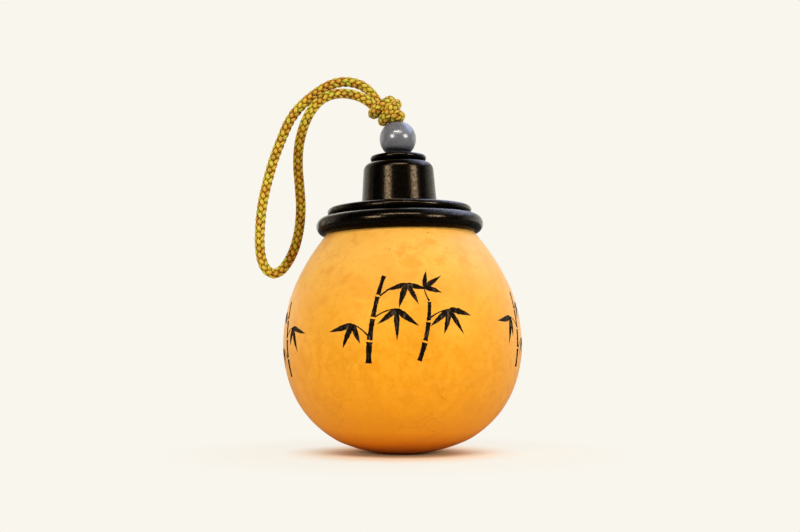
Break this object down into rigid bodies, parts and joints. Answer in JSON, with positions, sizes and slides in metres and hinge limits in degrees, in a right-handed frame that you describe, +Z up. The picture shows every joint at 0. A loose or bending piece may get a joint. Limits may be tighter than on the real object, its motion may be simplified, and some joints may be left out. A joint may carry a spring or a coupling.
{
  "type": "dried bottle gourd jar",
  "caption": "Round jar made from a dried hollow gourd, with a turned dark wood collar and lift-off plug lid, a stone bead on top and a knotted loop of braided cord that hangs beside it.",
  "frame": {"origin": "middle of the gourd's footprint, on the surface that it stands on", "axes": "+Z up; +X to the right as seen from the front, with the cord loop on the -X side; the front faces -Y"},
  "size_m": [0.1012, 0.0884, 0.1435],
  "materials": {
    "gourd_skin": "satin",
    "dark_wood": "gloss",
    "grey_agate": "polished",
    "braided_cord": "matte"
  },
  "bodies": {
    "root": {"gourd_shell": "gourd_skin", "collar": "dark_wood", "lid": "dark_wood", "bead": "grey_agate", "cord_tail": "braided_cord", "stop_knot": "braided_cord", "cord_knot": "braided_cord", "cord_loop": "braided_cord"}
  },
  "joints": []
}
